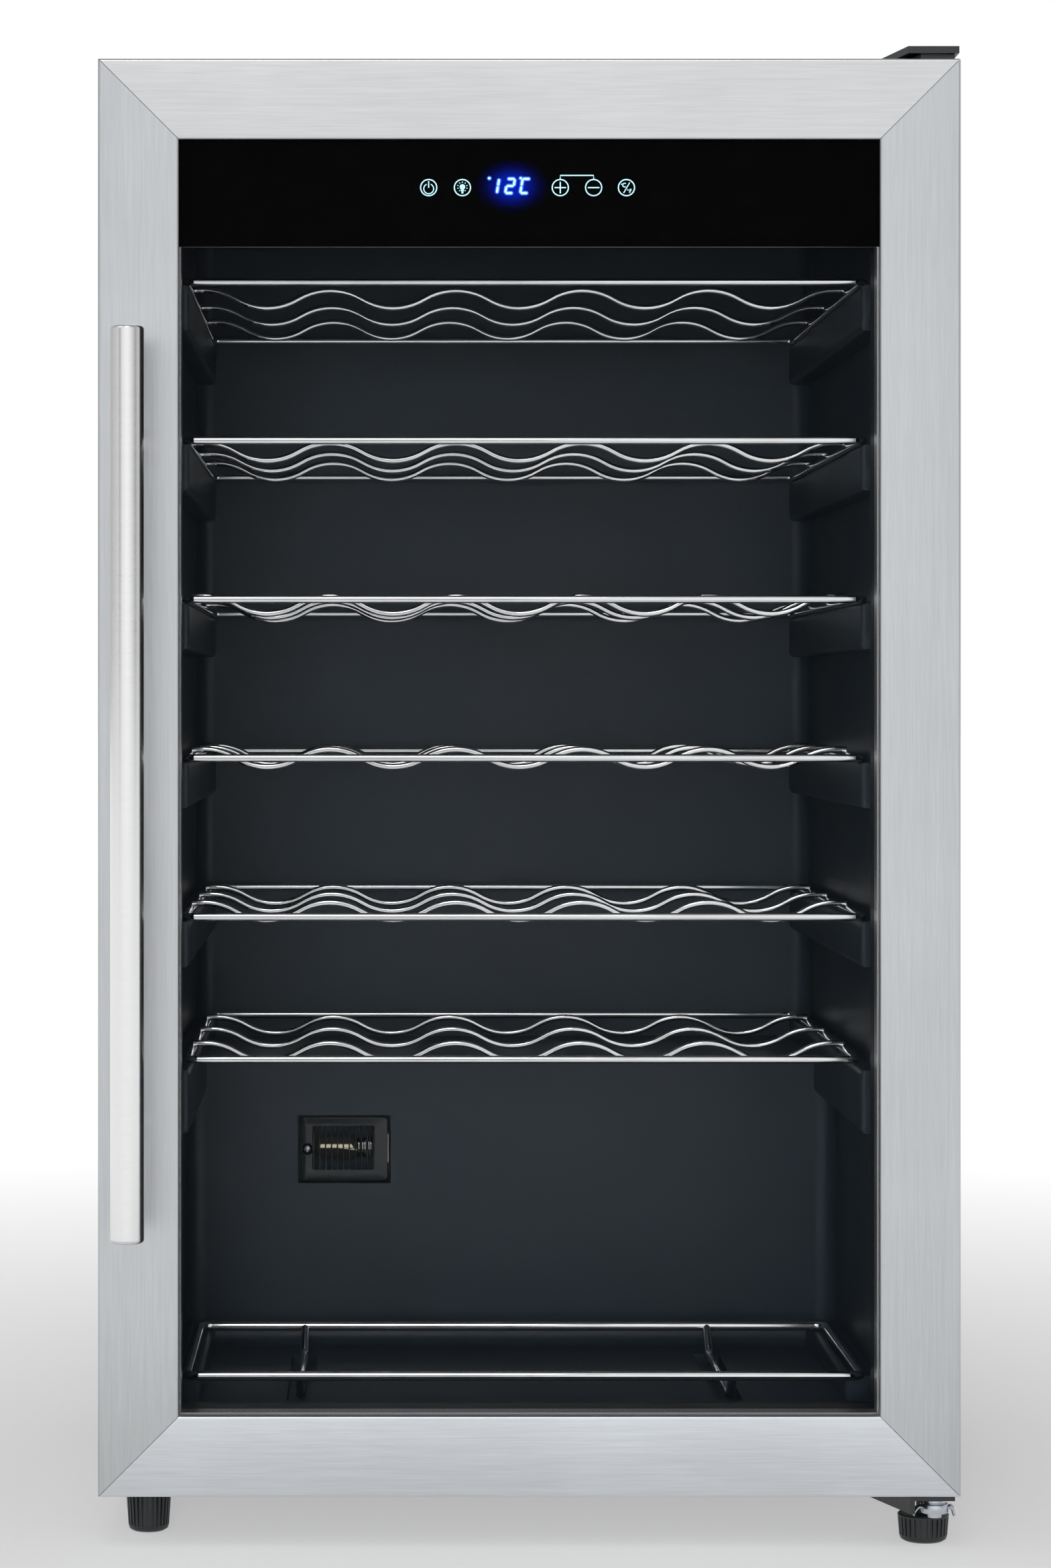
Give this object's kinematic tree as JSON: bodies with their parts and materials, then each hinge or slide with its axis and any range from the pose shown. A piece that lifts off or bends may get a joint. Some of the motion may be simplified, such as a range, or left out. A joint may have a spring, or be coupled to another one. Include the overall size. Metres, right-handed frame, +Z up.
{
  "type": "wine cooler",
  "caption": "Free-standing wine cooler with a hinged glass door in a mitred steel frame, bar handle, waved wire shelves, a wire bottom basket and a compressor bay at the back.",
  "frame": {"origin": "on the floor, below the centre of the overall box", "axes": "+Z up, the door and its handle face -Y, the door's hinge is at +X"},
  "size_m": [0.48, 0.5497, 0.8394],
  "materials": {
    "stainless": "satin",
    "handle_steel": "polished",
    "black_steel": "satin",
    "zinc": "satin",
    "steel_back": "matte",
    "liner": "satin",
    "foam": "matte",
    "black_plastic": "satin",
    "door_plastic": "satin",
    "tinted_glass": "gloss",
    "clear_glass": "gloss",
    "spacer_alu": "satin",
    "gasket": "matte",
    "chrome_wire": "polished",
    "board": "satin",
    "display": "gloss",
    "touch_pad": "matte",
    "lamp_glass": "gloss",
    "lamp_plastic": "satin",
    "alu_plate": "satin",
    "compressor_black": "satin",
    "rubber": "matte",
    "copper": "satin",
    "condenser_black": "satin",
    "tray_plastic": "satin"
  },
  "bodies": {
    "cabinet": {"top_hinge_plate": "black_steel", "hinge_pins": "zinc", "hinge_screws": "zinc", "top_hinge_cover": "black_plastic", "lower_hinge_plate": "black_steel", "hinge_wing_nut": "zinc", "rear_feet": "black_plastic", "inner_liner": "liner", "outer_wrapper": "black_steel", "base_pan": "steel_back", "bay_lining": "steel_back", "machine_plate": "steel_back", "back_panel": "steel_back", "insulation_foam": "foam", "evaporator_plate": "alu_plate", "lamp_cover": "liner", "lamp_cover_screw": "zinc", "lamp_bulb": "lamp_glass", "lamp_holder": "lamp_plastic", "compressor_shell": "compressor_black", "compressor_grommets": "rubber", "compressor_bolts": "zinc", "terminal_cover": "black_plastic", "drip_tray": "tray_plastic", "drain_tube": "rubber", "suction_line": "copper", "discharge_line": "copper", "filter_drier": "copper", "control_box": "black_plastic", "mains_gland": "black_plastic", "condenser_tube": "condenser_black", "condenser_wires": "condenser_black", "condenser_clips": "zinc", "rear_spacers": "black_plastic"},
    "door": {"door_trim_bottom": "stainless", "door_trim_right": "stainless", "door_trim_top": "stainless", "door_trim_left": "stainless", "door_inner_frame": "door_plastic", "outer_glass": "tinted_glass", "inner_glass": "clear_glass", "glass_spacer": "spacer_alu", "door_gasket": "gasket", "control_housing": "black_plastic", "display_board": "board", "digit_display": "display", "touch_pads": "touch_pad", "handle_bar": "handle_steel", "handle_posts": "handle_steel", "handle_screws": "zinc", "hinge_bushes": "black_plastic"},
    "shelf_1": {"shelf_1": "chrome_wire"},
    "shelf_2": {"shelf_2": "chrome_wire"},
    "shelf_3": {"shelf_3": "chrome_wire"},
    "shelf_4": {"shelf_4": "chrome_wire"},
    "shelf_5": {"shelf_5": "chrome_wire"},
    "shelf_6": {"shelf_6": "chrome_wire"},
    "basket": {"bottom_basket": "chrome_wire"},
    "left_foot": {"front_left_foot": "black_plastic"},
    "right_foot": {"front_right_foot": "black_plastic"}
  },
  "joints": [
    {"name": "door_hinge", "type": "hinge", "parent": "cabinet", "child": "door", "pos_m": [0.228, -0.2035, 0.4], "axis": [0, 0, 1], "range_deg": [0, 115]},
    {"name": "shelf_1_slide", "type": "slide", "parent": "cabinet", "child": "shelf_1", "axis": [0, -1, 0], "range_m": [0, 0.02]},
    {"name": "shelf_2_slide", "type": "slide", "parent": "cabinet", "child": "shelf_2", "axis": [0, -1, 0], "range_m": [0, 0.02]},
    {"name": "shelf_3_slide", "type": "slide", "parent": "cabinet", "child": "shelf_3", "axis": [0, -1, 0], "range_m": [0, 0.02]},
    {"name": "shelf_4_slide", "type": "slide", "parent": "cabinet", "child": "shelf_4", "axis": [0, -1, 0], "range_m": [0, 0.02]},
    {"name": "shelf_5_slide", "type": "slide", "parent": "cabinet", "child": "shelf_5", "axis": [0, -1, 0], "range_m": [0, 0.02]},
    {"name": "shelf_6_slide", "type": "slide", "parent": "cabinet", "child": "shelf_6", "axis": [0, -1, 0], "range_m": [0, 0.055]},
    {"name": "basket_slide", "type": "slide", "parent": "cabinet", "child": "basket", "axis": [0, -1, 0], "range_m": [0, 0.024]},
    {"name": "left_foot_turn", "type": "hinge", "parent": "cabinet", "child": "left_foot", "pos_m": [-0.2154, -0.1575, 0.02], "axis": [0, 0, 1], "continuous": true},
    {"name": "right_foot_turn", "type": "hinge", "parent": "cabinet", "child": "right_foot", "pos_m": [0.2243, -0.1855, 0.01], "axis": [0, 0, 1], "continuous": true}
  ]
}
